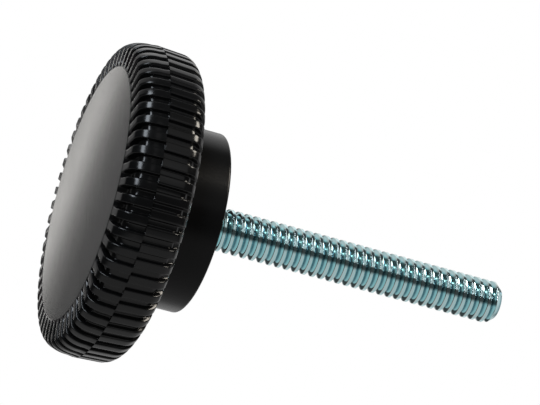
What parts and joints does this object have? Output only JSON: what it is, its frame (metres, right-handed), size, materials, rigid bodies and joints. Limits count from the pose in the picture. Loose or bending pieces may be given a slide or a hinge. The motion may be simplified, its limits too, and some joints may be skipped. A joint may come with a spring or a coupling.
{
  "type": "knurled knob",
  "caption": "Round hand knob with a ribbed rim, a smooth face and a hub, on a long threaded stud.",
  "frame": {"origin": "middle of the smooth face, which the knob stands on", "axes": "+Z along the stud to its tip; +X through the middle of a rib of the front row"},
  "size_m": [0.0428, 0.0428, 0.0604],
  "materials": {
    "black_plastic": "moulded black, satin on the face and glossier on the ribs",
    "zinc_steel": "bright zinc plating with a blue cast"
  },
  "bodies": {
    "root": {"knob_body": "black_plastic", "threaded_stud": "zinc_steel"}
  },
  "joints": []
}
